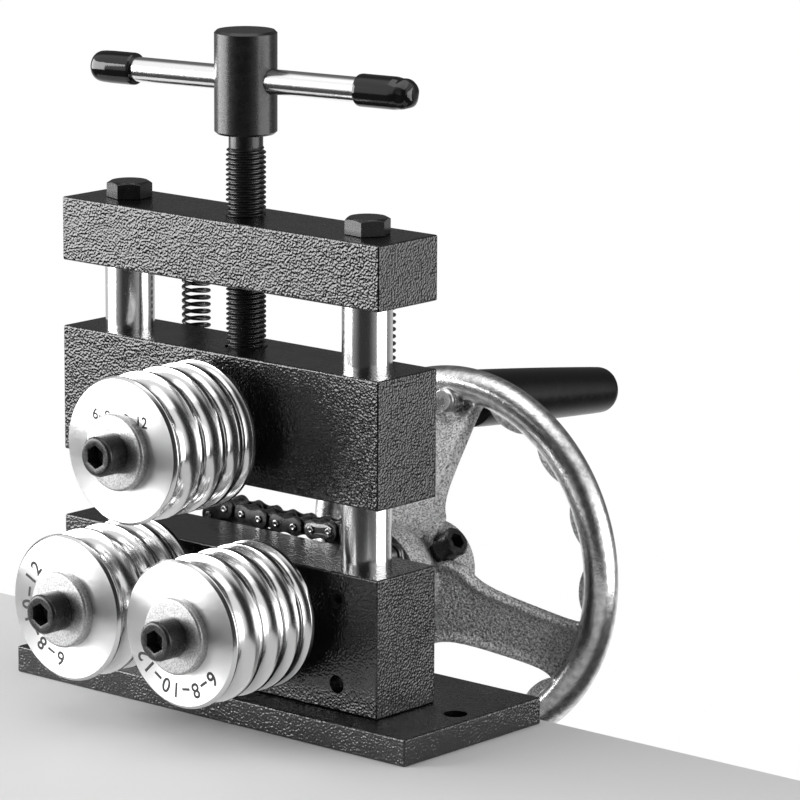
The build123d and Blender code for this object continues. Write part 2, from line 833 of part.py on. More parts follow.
os.makedirs("parts", exist_ok=True)
for name, solids in nodes.items():
    shape = solids[0] if len(solids) == 1 else Compound(children=list(solids))
    export_step(shape, f"parts/{name}.step")

# How far the press can go: down until the rollers meet, up until the blocks or springs close
meet = (roller_d**2 - (shaft_spread / 2) ** 2) ** 0.5
print("press can go down", round(min(upper_z - lower_z - meet, lower_gap), 2))
print("press can go up", round(min(upper_gap, coil_length() - spring_turns * spring_wire), 2))
print("chain links", len(chain_joints()), "nodes", len(nodes))
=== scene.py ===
# Ring roller: its looks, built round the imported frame. Shapes are worked out in
# millimetres and become metres as they turn into meshes.
import json

import bmesh
import bpy
import numpy as np
from mathutils import Matrix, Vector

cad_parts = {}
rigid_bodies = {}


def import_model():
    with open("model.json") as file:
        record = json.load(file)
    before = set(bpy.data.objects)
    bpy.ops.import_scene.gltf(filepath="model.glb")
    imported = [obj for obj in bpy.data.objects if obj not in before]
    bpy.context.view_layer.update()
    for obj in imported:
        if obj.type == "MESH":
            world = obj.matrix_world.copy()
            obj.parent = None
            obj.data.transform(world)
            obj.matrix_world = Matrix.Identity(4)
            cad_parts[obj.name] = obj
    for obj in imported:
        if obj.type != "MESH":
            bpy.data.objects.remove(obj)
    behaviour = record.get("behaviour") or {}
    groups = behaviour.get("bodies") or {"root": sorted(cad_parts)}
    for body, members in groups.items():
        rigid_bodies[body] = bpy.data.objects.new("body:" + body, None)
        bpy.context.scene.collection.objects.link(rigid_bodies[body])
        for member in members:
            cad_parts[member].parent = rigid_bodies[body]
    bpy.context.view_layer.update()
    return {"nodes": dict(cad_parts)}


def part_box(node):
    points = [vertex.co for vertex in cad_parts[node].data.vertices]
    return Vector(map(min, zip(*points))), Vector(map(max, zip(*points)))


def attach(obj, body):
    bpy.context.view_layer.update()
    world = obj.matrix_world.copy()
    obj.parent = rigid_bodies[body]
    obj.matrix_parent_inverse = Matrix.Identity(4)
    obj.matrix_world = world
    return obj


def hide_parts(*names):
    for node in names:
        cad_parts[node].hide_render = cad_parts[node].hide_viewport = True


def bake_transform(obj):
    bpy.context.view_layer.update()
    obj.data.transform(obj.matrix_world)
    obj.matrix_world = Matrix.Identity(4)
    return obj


for leftover in list(bpy.data.objects):
    bpy.data.objects.remove(leftover)
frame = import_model()
print("frame loaded:", len(frame["nodes"]), "nodes")

upwards, frontwards = (0, 0, 1), (0, -1, 0)


# Lowest and highest corner of a CAD node, in millimetres
def boxOf(node):
    return [np.array(corner) * 1000 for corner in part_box(node)]


def middleOf(node):
    low, high = boxOf(node)
    return (low + high) / 2


# One vector, or each row of a table of vectors, at length 1
def unit(vector):
    return vector / np.linalg.norm(vector, axis=-1, keepdims=True)


# An origin with three directions: two across the axis, then the axis itself
def axisPlace(origin, axis):
    along = unit(np.array(axis, float))
    side = unit(np.cross(upwards if abs(along[2]) < 0.9 else (0, 1, 0), along))
    return np.array(origin, float), np.stack([side, np.cross(along, side), along])


def placed(local, place):
    origin, directions = place
    return local.reshape(-1, 3) @ directions + origin


# Quads between neighbours on a grid; a wrapped direction joins its last line to its first
def gridFaces(rows, columns, wrapRows=False, wrapColumns=False):
    r = np.arange(rows if wrapRows else rows - 1)[:, None]
    c = np.arange(columns if wrapColumns else columns - 1)[None, :]
    nextR, nextC = (r + 1) % rows, (c + 1) % columns
    corners = [r * columns + c, r * columns + nextC, nextR * columns + nextC, nextR * columns + c]
    return np.stack(corners, -1).reshape(-1, 4)


# Open polyline whose corners (x, y, cut) become curves (1-t)^2 a + 2t(1-t) corner + t^2 b, with a
# and b the points that lie cut before and after the corner
def softened(corners, steps=5):
    table = np.array(corners, float)
    table[[0, -1], 2] = 0
    points, cut = table[:, :2], table[:, 2:]
    first = points + unit(np.roll(points, 1, 0) - points) * cut
    last = points + unit(np.roll(points, -1, 0) - points) * cut
    t = np.linspace(0, 1, steps)[None, :, None]
    curve = (1 - t) ** 2 * first[:, None] + 2 * t * (1 - t) * points[:, None] + t**2 * last[:, None]
    line = curve.reshape(-1, 2)
    return line[np.r_[True, np.linalg.norm(np.diff(line, axis=0), axis=1) > 1e-6]]


def turnAngles(segments):
    return np.arange(segments) * 2 * np.pi / segments


# Rows of (radius, height) carried round an axis as (radius cos a, radius sin a, height); a radius
# or height may itself be an array over the angle a
def turned(rows, place, segments=96, closed=False):
    angle = turnAngles(segments)
    radius = np.stack([np.broadcast_to(row[0], segments) for row in rows])
    height = np.stack([np.broadcast_to(row[1], segments) for row in rows])
    local = np.stack([radius * np.cos(angle), radius * np.sin(angle), height], -1)
    return placed(local, place), gridFaces(len(rows), segments, closed, True)


# Distance to a hexagon's side at each angle: half the flats over cos(angle from its middle)
def hexRadius(flats, segments):
    sector = np.pi / 3
    return flats / 2 / np.cos((turnAngles(segments) + sector / 2) % sector - sector / 2)


# A circle carried along a path: path + radius (cos b * across + sin b * over), with across and
# over square to the path
def tube(path, radius, sides):
    way = unit(np.gradient(path, axis=0))
    over = np.zeros_like(path)
    over[0] = np.cross(way[0], (0.3, 0.5, 0.81))
    for i in range(1, len(path)):  # each over is the last one, made square to the new direction
        over[i] = unit(over[i - 1])
        over[i] -= way[i] * (over[i] @ way[i])
    over = unit(over)
    across = np.cross(way, over)
    b = turnAngles(sides)[None, :, None]
    skin = path[:, None] + radius * (np.cos(b) * across[:, None] + np.sin(b) * over[:, None])
    return closedSkin(skin.reshape(-1, 3), len(path), sides)


# Rings of points joined into a skin whose first and last ring are closed
def closedSkin(skin, rings, count):
    end = np.arange(count)[None]
    return [(skin, gridFaces(rings, count, False, True)), (skin[:count], end), (skin[-count:], end)]


# An outline (x, y) stacked at levels of (height, inset), each ring drawn in towards the outline
# by its inset along the normals
def prism(outline, levels, place):
    way = np.roll(outline, -1, 0) - np.roll(outline, 1, 0)
    inward = unit(np.stack([-way[:, 1], way[:, 0]], -1))
    rings = [np.c_[outline + inward * inset, np.full(len(outline), height)] for height, inset in levels]
    return closedSkin(placed(np.concatenate(rings), place), len(levels), len(outline))


# From 0 at low to 1 at high as 3t^2 - 2t^3
def smoothStep(x, low, high):
    t = np.clip((x - low) / (high - low), 0, 1)
    return t * t * (3 - 2 * t)


def addObject(name, data):
    holder = bpy.data.objects.new(name, data)
    bpy.context.scene.collection.objects.link(holder)
    return holder


# One mesh of (points, faces, material number) parts; it rides on body, or with blendTo has its place baked
# in and rides on none, and stands for nodes
def addPiece(name, parts, materials, body, nodes=(), sharp=32, blendTo=None):
    points, faces, kinds, start = [], [], [], 0
    for part in parts:
        points.append(part[0])
        faces += (np.asarray(part[1]) + start).tolist()
        kinds += np.broadcast_to(part[2] if len(part) > 2 else 0, len(part[1])).tolist()
        start += len(part[0])
    mesh = bpy.data.meshes.new(name)
    mesh.from_pydata((np.concatenate(points) / 1000).tolist(), [], faces)
    mesh.polygons.foreach_set("material_index", kinds)
    tidyMesh(mesh)
    finishMesh(mesh, sharp)
    for material in materials:
        mesh.materials.append(material)
    piece = addObject(name, mesh)
    if blendTo:
        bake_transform(piece)
    else:
        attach(piece, body)
    if nodes:
        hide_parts(*nodes)
    return piece


# Closes seams and poles and turns every face outwards
def tidyMesh(mesh):
    work = bmesh.new()
    work.from_mesh(mesh)
    bmesh.ops.remove_doubles(work, verts=work.verts, dist=2e-6)
    bmesh.ops.dissolve_degenerate(work, edges=work.edges, dist=1e-7)
    bmesh.ops.recalc_face_normals(work, faces=work.faces)
    work.to_mesh(mesh)
    work.free()


def finishMesh(mesh, sharp):
    mesh.polygons.foreach_set("use_smooth", np.ones(len(mesh.polygons), bool))
    mesh.set_sharp_from_angle(angle=np.radians(sharp))


# Short ways to add and join the nodes of one tree
class Nodes:
    def __init__(self, tree):
        self.tree = tree

    def add(self, kind, inputs=(), **settings):
        node = self.tree.nodes.new(kind)
        for key, value in settings.items():
            setattr(node, key, value)
        for key, value in dict(inputs).items():
            if isinstance(value, bpy.types.NodeSocket):
                self.tree.links.new(value, node.inputs[key])
            else:
                node.inputs[key].default_value = value
        return node

    def math(self, operation, a, b=0.0, c=0.0):
        return self.add("ShaderNodeMath", {0: a, 1: b, 2: c}, operation=operation).outputs[0]

    def vector(self, operation, a, b=(0, 0, 0)):
        node = self.add("ShaderNodeVectorMath", {0: a, 1: b}, operation=operation)
        return node.outputs["Value" if operation in ("LENGTH", "DOT_PRODUCT") else "Vector"]

    def ramp(self, value, low, high, outLow=0.0, outHigh=1.0):
        inputs = {"Value": value, "From Min": low, "From Max": high, "To Min": outLow, "To Max": outHigh}
        return self.add("ShaderNodeMapRange", inputs).outputs["Result"]

    def mixLevel(self, factor, a, b):
        return self.add("ShaderNodeMix", {0: factor, 2: a, 3: b}).outputs[0]

    def mixColour(self, factor, a, b):
        return self.add("ShaderNodeMix", {0: factor, 6: a, 7: b}, data_type="RGBA").outputs[2]


# A Principled material that reads the object's own coordinates
class Paint(Nodes):
    def __init__(self, name, **sockets):
        self.material = bpy.data.materials.new(name)
        self.material.use_nodes = True
        super().__init__(self.material.node_tree)
        self.shader = self.tree.nodes["Principled BSDF"]
        for socket, value in sockets.items():
            self.shader.inputs[socket.replace("_", " ")].default_value = value
        self.place = self.add("ShaderNodeTexCoord").outputs["Object"]

    def noise(self, scale, detail=2.0, roughness=0.5):
        inputs = {"Scale": scale, "Detail": detail, "Roughness": roughness, "Vector": self.place}
        return self.add("ShaderNodeTexNoise", inputs).outputs["Fac"]

    def cells(self, scale):
        inputs = {"Scale": scale, "Smoothness": 0.6, "Vector": self.place}
        return self.add("ShaderNodeTexVoronoi", inputs, feature="SMOOTH_F1").outputs["Distance"]

    def bump(self, height, depth, under=None):
        inputs = {"Height": height, "Distance": depth, "Strength": 1.0}
        if under is not None:
            inputs["Normal"] = under
        return self.add("ShaderNodeBump", inputs).outputs["Normal"]

    def set(self, socket, value):
        self.tree.links.new(value, self.shader.inputs[socket])

    # Roughness that follows a noise from its lowest to its highest share of rough
    def unevenGloss(self, rough, lowest, highest, scale, detail):
        spread = self.ramp(self.noise(scale, detail=detail), 0.3, 0.7, rough * lowest, rough * highest)
        self.set("Roughness", spread)

    # From the axis through centre, which runs front to back, straight out to the point
    def armFrom(self, centre):
        arm = self.vector("SUBTRACT", self.place, tuple(np.array(centre) / 1000))
        return self.vector("MULTIPLY", arm, (1, 0, 1))


def grey(level):
    return (level, level, level, 1.0)


hammerLook = {
    "shade": 0.006, "rough": 0.13, "ior": 1.6,
    "grain": 1080.0, "wrinkle": 0.00029, "speck": 2800.0, "speckDepth": 0.00003,
}


# Black powder coat: a wrinkle that is deeper in patches, over a fine speck
def hammerCoat():
    look = hammerLook
    coat = Paint("hammerBlack", Base_Color=grey(look["shade"]), Roughness=look["rough"], IOR=look["ior"])
    swirl = coat.noise(look["grain"], detail=0.4)
    patches = coat.ramp(coat.noise(70.0), 0.35, 0.65, 0.75, 1.2)
    fine = coat.bump(coat.noise(look["speck"], detail=1.0), look["speckDepth"])
    coat.set("Normal", coat.bump(coat.math("MULTIPLY", swirl, patches), look["wrinkle"], under=fine))
    coat.unevenGloss(look["rough"], 0.85, 1.3, 120.0, 3.0)
    return coat.material


# Bright metal with faint wear: roughness follows a broad noise and a fine one gives hairlines
def polished(name, shade, rough, scratch=0.00001, wear=0.4):
    metal = Paint(name, Base_Color=grey(shade), Metallic=1.0, Roughness=rough)
    metal.unevenGloss(rough, 1 - wear, 1 + wear, 90.0, 4.0)
    metal.set("Normal", metal.bump(metal.noise(1800.0, detail=3.0), scratch))
    return metal.material


turnedLook = {
    "shade": 0.74, "rough": 0.34, "drawn": 0.97,
    "rings": 21000.0, "ringShare": 0.1, "depth": 0.00004,
}


# Steel faced on a lathe: its gloss is drawn out across rings about the axis through centre
def turnedSteel(name, centre):
    look = turnedLook
    face = Paint(name, Base_Color=grey(look["shade"]), Metallic=1.0, Roughness=look["rough"],
                 Anisotropic=look["drawn"])
    arm = face.armFrom(centre)
    face.set("Tangent", face.vector("NORMALIZE", arm))
    rings = face.math("SINE", face.math("MULTIPLY", face.vector("LENGTH", arm), look["rings"]))
    grain = face.noise(1700.0, detail=4.0, roughness=0.6)
    height = face.math("ADD", face.math("MULTIPLY", rings, look["ringShare"]), grain)
    face.set("Normal", face.bump(height, look["depth"]))
    face.unevenGloss(look["rough"], 0.85, 1.2, 220.0, 4.0)
    return face.material


# Zinc-plated sheet: a fine crystal grain in both its shade and its bump
def zincSheet(name, shade, rough, grain):
    plate = Paint(name, Metallic=1.0, Roughness=rough)
    crystals = plate.noise(1500.0, detail=4.0, roughness=0.7)
    tint = plate.mixColour(plate.ramp(crystals, 0.38, 0.62), grey(shade * 0.55), grey(shade * 1.15))
    plate.set("Base Color", tint)
    plate.set("Normal", plate.bump(crystals, grain))
    return plate.material


# Blackened steel: slightly mottled, with a fine bump
def darkSteel(name, shade, rough, metallic=0.0):
    steel = Paint(name, Base_Color=grey(shade), Roughness=rough, Metallic=metallic)
    mottle = steel.ramp(steel.noise(260.0, detail=5.0, roughness=0.6), 0.35, 0.68)
    steel.set("Base Color", steel.mixColour(mottle, grey(shade * 0.75), grey(shade * 1.5)))
    steel.unevenGloss(rough, 0.85, 1.2, 700.0, 3.0)
    steel.set("Normal", steel.bump(steel.noise(1900.0, detail=3.0), 0.00003))
    return steel.material


castLook = {  # distances in metres
    "rimFrom": 0.0658, "rimTo": 0.067, "ragged": 0.0022,  # where the rim's polish begins
    "rough": 0.42, "rimRough": 0.27, "metallic": 0.6,
    # the boss's pair is painted shade on the boss's front, which lies in shadow; bossDepth and bossFade set
    # how far back it reaches
    "pit": (0.15, 0.72), "streak": (0.5, 0.82), "bossPaintedShade": (0.05, 0.16),  # darkest and lightest shades
    "bossDepth": 0.0005, "bossFade": 0.0003,
    "sand": 0.0007, "rimSand": 0.09,
}


# Sand-cast metal, polished on the rim, with painted shade darkening the boss's front: the masks are the
# distance from the wheel's axis and the depth behind its front
def castIron(centre):
    look = castLook
    cast = Paint("castGrey")
    ragged = cast.math("MULTIPLY_ADD", cast.noise(420.0, detail=4.0), look["ragged"], -look["ragged"] / 2)
    distance = cast.math("ADD", cast.vector("LENGTH", cast.armFrom(centre)), ragged)
    rim = cast.ramp(distance, look["rimFrom"], look["rimTo"])
    depth = cast.add("ShaderNodeSeparateXYZ", {0: cast.place}).outputs["Y"]
    bossEnd = boxOf("handwheel")[0][1] / 1000 + look["bossDepth"]
    # painted shade: this mask darkens the boss's front, which lies in shadow beside the column
    boss = cast.ramp(depth, bossEnd, bossEnd + look["bossFade"], 1.0, 0.0)

    pits = cast.noise(1150.0, detail=4.0, roughness=0.65)
    rimStreak = cast.noise(330.0, detail=5.0)
    shades = []
    for noise, low, high, kind in ((pits, 0.38, 0.6, "pit"), (pits, 0.4, 0.6, "bossPaintedShade"),
                                   (rimStreak, 0.35, 0.65, "streak")):
        dark, light = look[kind]
        shades.append(cast.mixColour(cast.ramp(noise, low, high), grey(dark), grey(light)))
    # the boss's front takes the painted shade
    body = cast.mixColour(boss, shades[0], shades[1])
    cast.set("Base Color", cast.mixColour(rim, body, shades[2]))
    cast.set("Roughness", cast.ramp(rim, 0.0, 1.0, look["rough"], look["rimRough"]))
    cast.set("Metallic", cast.ramp(rim, 0.0, 1.0, look["metallic"], 1.0))
    rough = cast.math("ADD", pits, cast.math("MULTIPLY", cast.cells(760.0), 0.5))
    sand = cast.math("MULTIPLY", rough, cast.ramp(rim, 0.0, 1.0, 1.0, look["rimSand"]))
    cast.set("Normal", cast.bump(sand, look["sand"]))
    return cast.material


def plainBlack(name, shade, rough, grain, ior=1.5):
    plastic = Paint(name, Base_Color=grey(shade), Roughness=rough, IOR=ior)
    plastic.set("Normal", plastic.bump(plastic.noise(1300.0), grain))
    plastic.unevenGloss(rough, 0.9, 1.15, 300.0, 3.0)
    return plastic.material


hammerBlack = hammerCoat()
chrome = polished("chrome", shade=0.88, rough=0.17, scratch=0.000003, wear=0.05)
polishedSteel = polished("polishedSteel", shade=0.68, rough=0.19, scratch=0.000008, wear=0.15)
satinSteel = polished("satinSteel", shade=0.7, rough=0.24, scratch=0.00003)
zincSteel = polished("zincSteel", shade=0.85, rough=0.26, scratch=0.00003)
bronze = polished("bronze", shade=0.4, rough=0.35)
washerZinc = zincSheet("washerZinc", shade=0.46, rough=0.36, grain=0.0001)
blackOxide = darkSteel("blackOxide", shade=0.01, rough=0.26)
threadBlack = darkSteel("threadBlack", shade=0.009, rough=0.26)
springSteel = darkSteel("springSteel", shade=0.05, rough=0.24, metallic=0.8)
chainSteel = darkSteel("chainSteel", shade=0.09, rough=0.3, metallic=0.85)
pinSteel = darkSteel("pinSteel", shade=0.5, rough=0.22, metallic=1.0)
gripBlack = plainBlack("gripBlack", shade=0.004, rough=0.24, grain=0.00002, ior=1.35)
capBlack = plainBlack("capBlack", shade=0.006, rough=0.07, grain=0.00001)
inkBlack = plainBlack("inkBlack", shade=0.01, rough=0.55, grain=0.00002)
castGrey = castIron(middleOf("right_shaft"))
print("materials ready")


# Gives CAD nodes a new finish
def dress(material, *names):
    for name in names:
        for slot in frame["nodes"][name].material_slots:
            slot.material = material


dress(hammerBlack, "base_plate", "lower_block", "press_block", "top_beam")
dress(chrome, "columns", "tommy_bar")
dress(blackOxide, "lock_screws", "block_screws", "wheel_screw", "screw_head", "beam_posts", "press_posts")
dress(blackOxide, "upper_ring", "left_ring", "upper_keys", "left_keys", "right_keys")
dress(chainSteel, "left_sprocket", "right_sprocket")
dress(satinSteel, "upper_shaft", "left_shaft", "right_shaft", "thrust_button", "wheel_spacer")
dress(satinSteel, "upper_collar", "left_collar", "right_collar")
dress(bronze, "lower_bushes", "press_bush")

# Rollers, with the washer and socket screw that hold each one
rollerLook = {
    "bodies": {"upper": "upper_set", "left": "left_set", "right": "drive_set"},
    "grooves": (12.0, 10.0, 8.0, 6.0),  # front to back
    "shy": 0.8,  # groove centre outside the roller's surface
    "land": 2.0, "edge": 0.25, "chamfer": 1.2, "bore": 10.02, "washerBore": 5.1,
    "grooveSteps": 22, "segments": 192,
}


# Half-round groove: (R + shy - w/2 sin a, centre + w/2 cos a), where it lies inside R
def grooveArc(width, centre, radius):
    shy = rollerLook["shy"]
    reach = np.arcsin(shy / (width / 2))
    a = np.linspace(reach, np.pi - reach, rollerLook["grooveSteps"])
    rows = np.c_[radius + shy - width / 2 * np.sin(a), centre + width / 2 * np.cos(a)]
    return rows[1:-1], width / 2 * np.cos(reach)


# Closed profile of a roller: bore, front face, chamfer, grooves and lands, back face
def rollerRows(low, high, radius):
    bore, cut, edge = rollerLook["bore"], rollerLook["chamfer"], rollerLook["edge"]
    front = [(bore, high, 0), (radius - cut, high, 0.2), (radius, high - cut, 0.2)]
    front.append((radius, high - cut - 0.3, 0))
    rows, z = [softened(front, steps=4)], high
    for width in rollerLook["grooves"]:
        z -= rollerLook["land"] + width / 2
        arc, half = grooveArc(width, z, radius)
        rows += [[(radius, z + half + edge), (radius - edge * 0.3, z + half)], arc]
        rows += [[(radius - edge * 0.3, z - half), (radius, z - half - edge)]]
        z -= width / 2
    rows.append([(radius, low + 0.5), (radius - 0.5, low), (bore, low)])
    return np.concatenate([np.array(part, float) for part in rows])


socketLook = {"flats": 8.0, "shank": 5.0, "edge": 0.9, "depth": 0.6}  # depth is a share of the head


# Socket head screw: shank, head with a rounded edge, ring face and hexagon hole
def socketHead(place, radius, height, reach, segments=96):
    flats, shank, edge = socketLook["flats"], socketLook["shank"], socketLook["edge"]
    hexagon, floor = hexRadius(flats, segments), height - height * socketLook["depth"]
    outer = softened([
        (shank, 0, 0), (radius - 0.1, 0, 0.2), (radius, 0.6, 0.3), (radius, height - edge, 0.5),
        (radius - edge, height, 0.5), (flats / 2 / np.cos(np.pi / 6) + 0.45, height, 0),
    ])
    rows = [(0, -reach), (shank, -reach), *outer]
    rows += [(hexagon + 0.12, height - 0.12), (hexagon, height - 0.4)]
    rows += [(hexagon, floor), (hexagon * 0.5, floor - 0.9), (0, floor - 1.4)]
    return turned(rows, place, segments)


def washerRows(low, high, radius, bore):
    corners = [(bore, low, 0), (radius - 0.2, low, 0.1), (radius, low + 0.3, 0.2)]
    corners += [(radius, high - 0.8, 0.3), (radius - 0.8, high, 0.3), (bore, high, 0)]
    return softened(corners)


numberLook = {"text": "6-8-10-12", "proud": 0.03, "deep": 0.25, "dashWiden": 1.7, "bold": 0.03}
numberPlaces = {  # degrees of the first sign and from one to the next, radius, height, level line
    "upper": {"start": 90.0, "step": 0.0, "radius": 13.2, "height": 4.3, "from": -13.6, "pitch": 3.3},
    "left": {"start": 262.0, "step": 15.3, "radius": 21.4, "height": 5.7, "from": 0.0, "pitch": 0.0},
    "right": {"start": 320.0, "step": 13.7, "radius": 22.6, "height": 5.9, "from": 0.0, "pitch": 0.0},
}


# Numerals along an arc of the roller's face, or level where there is a pitch, sunk so that only
# their dark tops show
def addNumbers(kind, body, centre, frontY):
    look = {**numberLook, **numberPlaces[kind]}
    faceMiddle, inward = np.array((centre[0], frontY, centre[2])), np.array((0.0, 1.0, 0.0))
    parts = []
    for i, sign in enumerate(look["text"]):
        points, faces = glyph(sign, look["height"])
        angle = np.radians(look["start"] - i * look["step"])
        outward = np.array((np.cos(angle), 0.0, np.sin(angle)))
        along = np.array((np.sin(angle), 0.0, -np.cos(angle)))
        across = points[:, :1] + (look["from"] + look["pitch"] * i)
        rise = points[:, 1:2] + look["radius"] - look["height"] / 2
        depth = np.where(points[:, 2:] > 0, -look["proud"], look["deep"])
        skin = across * along + rise * outward + depth * inward + faceMiddle
        parts += [(skin, face[None]) for face in faces]
    addPiece(kind + "Numbers", parts, [inkBlack], body, sharp=20)


# One sign as a thin solid, centred on x, with its foot at y = 0
def glyph(sign, height):
    text = bpy.data.curves.new("glyph", "FONT")
    text.body, text.size, text.extrude = sign, height / 0.7, 0.5  # a digit is 0.7 of the type's size
    text.resolution_u, text.offset, text.align_x = 6, numberLook["bold"] * height, "CENTER"
    holder = addObject("glyph", text)
    bpy.context.view_layer.update()
    mesh = bpy.data.meshes.new_from_object(holder)
    points = np.empty(len(mesh.vertices) * 3)
    mesh.vertices.foreach_get("co", points)
    points = points.reshape(-1, 3)
    faces = [np.array(polygon.vertices) for polygon in mesh.polygons]
    bpy.data.objects.remove(holder)
    if sign == "-":
        points[:, 0] *= numberLook["dashWiden"]
    return points, faces


# Roller, washer, socket screw and numerals, all in one body
def addRoller(kind, body):
    segments = rollerLook["segments"]
    low, high = boxOf(kind + "_roller")
    centre, front = middleOf(kind + "_roller"), -low[1]
    place = axisPlace((centre[0], 0, centre[2]), frontwards)
    rows = rollerRows(-high[1], front, (high[0] - low[0]) / 2)
    skin, quads = turned(rows, place, segments, closed=True)
    onFace = (rows[:, 1] > front - 0.05) & (np.roll(rows[:, 1], -1) > front - 0.05)
    roller = (skin, quads, np.repeat(onFace.astype(int), segments))
    finishes = [polishedSteel, turnedSteel(kind + "Faced", centre)]
    addPiece(kind + "Roller", [roller], finishes, body, [kind + "_roller"])

    washerLow, washerHigh = boxOf(kind + "_washer")
    radius, seat = (washerHigh[0] - washerLow[0]) / 2, washerLow[1]
    rows = washerRows(-washerHigh[1], -seat, radius, rollerLook["washerBore"])
    washer = turned(rows, place, 128, closed=True)
    addPiece(kind + "Washer", [washer], [washerZinc], body, [kind + "_washer"])

    screwLow, screwHigh = boxOf(kind + "_screw")
    place = axisPlace((centre[0], seat, centre[2]), frontwards)
    head = socketHead(place, (screwHigh[0] - screwLow[0]) / 2, seat - screwLow[1], screwHigh[1] - seat)
    addPiece(kind + "Screw", [head], [blackOxide], body, [kind + "_screw"])
    addNumbers(kind, body, centre, low[1])


for kind, body in rollerLook["bodies"].items():
    addRoller(kind, body)
print("rollers ready")

# Press screw: a right-hand thread between its tip and its plain neck
screwLook = {"pitch": 2.0, "radius": 8.0, "depth": 1.15, "neck": 5.0, "perTurn": 40}


# Helical ridge: at turn angle a and share s of the pitch, the point is
# (r cos a, r sin a, pitch (a / 2 pi + s)), r rising from root to crest and back over s
def threadSkin(place, low, high, pitch, crest, depth, perTurn):
    share = np.array((0.0, 0.1, 0.42, 0.58, 0.9, 1.0))
    rise = np.array((0.0, 0.0, 1.0, 1.0, 0.0, 0.0))
    turns = (high - low) / pitch + 1
    count = int(turns * perTurn) + 1
    a = (np.arange(count) / perTurn - 1) * 2 * np.pi
    z = low + pitch * (a[:, None] / (2 * np.pi) + share)
    fade = np.clip(np.minimum(z - low, high - z) / pitch, 0, 1)
    r = crest - depth + depth * rise * fade
    z = np.clip(z, low, high)
    local = np.stack([r * np.cos(a)[:, None], r * np.sin(a)[:, None], z], -1)
    return placed(local, place), gridFaces(count, len(share))


def addPressScrew():
    look = screwLook
    low, high = boxOf("press_screw")
    middle = middleOf("press_screw")
    place = axisPlace((middle[0], middle[1], 0), upwards)
    neckLow = boxOf("screw_head")[0][2] - look["neck"]
    root = look["radius"] - look["depth"]
    ridge = (look["pitch"], look["radius"], look["depth"], look["perTurn"])
    thread = threadSkin(place, low[2], neckLow, *ridge)
    neck = softened([(0, neckLow, 0), (root, neckLow, 0), (root, high[2], 0.2), (0, high[2], 0)])
    tip = [(0, low[2]), (root, low[2])]
    parts = [thread, turned(neck, place, 40), turned(tip, place, 40)]
    addPiece("pressScrew", parts, [threadBlack], "screw", ["press_screw"], sharp=40)


addPressScrew()

# Bar caps: a sleeve with a thin lip and a domed end; the right one's end is crinkled
capLook = {
    "bar": 10.0, "bore": 5.02, "radius": 6.5, "end": 2.0, "segments": 96,
    "caps": {
        "rightBarCap": {"side": 1, "length": 25.0, "crinkle": 0.3, "nodes": ["bar_caps"]},
        "leftBarCap": {"side": -1, "length": 20.0, "crinkle": 0.0, "nodes": ()},
    },
}


# Outline from the open lip round the domed end to the axis, and back inside to the lip. Past the
# bar's end the radius dips by crinkle (1 - (sin 5a + sin(3a + z)) / 2).
def capRows(length, crinkle):
    radius, bore, inside = capLook["radius"], capLook["bore"], length - capLook["end"]
    outer = softened([
        (bore, 0, 0), (radius - 0.25, 0, 0.15), (radius, 0.9, 0.5), (radius, length - 9.0, 0.5),
        (radius - 0.1, length - 6.0, 0.5), (radius - 0.5, length - 0.1, 4.4), (0, length, 0),
    ], steps=9)
    a = turnAngles(capLook["segments"])
    rows = []
    for r, z in outer:
        dip = crinkle * smoothStep(z, length - 9.0, length - 5.5) * min(r / radius, 1.0)
        rows.append((r - dip * (1 - (np.sin(5 * a) + np.sin(3 * a + z)) / 2), z))
    return rows + [(0, inside), (bore, inside)]


# The bar's box is its length's share plus its width's, so its turn is found by repeating
def addBarCaps():
    low, high = boxOf("tommy_bar")
    span, wide, turn = high - low, capLook["bar"], 0.0
    for _ in range(5):
        turn = np.arctan2(span[1] - wide * np.cos(turn), span[0] - wide * np.sin(turn))
    barLength = (span[0] - wide * np.sin(turn)) / np.cos(turn)
    barWay = np.array((np.cos(turn), np.sin(turn), 0.0))
    for name, cap in capLook["caps"].items():
        outwards, length = cap["side"] * barWay, cap["length"]
        lip = (low + high) / 2 + outwards * (barLength / 2 + capLook["end"] - length)
        rows = capRows(length, cap["crinkle"])
        sleeve = turned(rows, axisPlace(lip, outwards), capLook["segments"], closed=True)
        addPiece(name, [sleeve], [capBlack], "bar", cap["nodes"])


addBarCaps()
print("press screw and bar ready")

# Hexagon bolts on the beam; cone is the slope that cuts their corners, and crown the share of the
# head that stays flat
boltLook = {
    "flats": 16.0, "head": 6.8, "cone": 0.47, "crown": 0.93, "shank": 5.0, "below": 34.0,
    "turn": (12.0, 25.0), "columnRadius": 10.0,
}


# Hexagon head, its height less cone (radius - crown's radius) outside the crown; shank below
def hexBolt(place, segments=96):
    head, shank, below = boltLook["head"], boltLook["shank"], boltLook["below"]
    radius = hexRadius(boltLook["flats"], segments)
    crown = boltLook["flats"] / 2 * boltLook["crown"]
    top = head - np.maximum(radius - crown, 0) * boltLook["cone"]
    rows = [(0, -below), (shank, -below), (shank, 0), (radius - 0.35, 0), (radius, 0.35)]
    rows += [(radius, top - 0.25), (radius - 0.2, top), (crown, head), (crown * 0.8, head), (0, head)]
    return turned(rows, place, segments)


# axisPlace with its two cross directions turned about the axis
def turnedPlace(origin, axis, degrees):
    origin, (side, over, along) = axisPlace(origin, axis)
    c, s = np.cos(np.radians(degrees)), np.sin(np.radians(degrees))
    return origin, np.stack([c * side + s * over, c * over - s * side, along])


def addBeamBolts():
    low, high = boxOf("columns")
    inset, beamTop, bolts = boltLook["columnRadius"], boxOf("top_beam")[1][2], []
    for x, turn in zip((low[0] + inset, high[0] - inset), boltLook["turn"]):
        bolts.append(hexBolt(turnedPlace((x, (low[1] + high[1]) / 2, beamTop), upwards, turn)))
    addPiece("beamBolts", bolts, [blackOxide], "frame", ["beam_bolts"], sharp=18)


addBeamBolts()

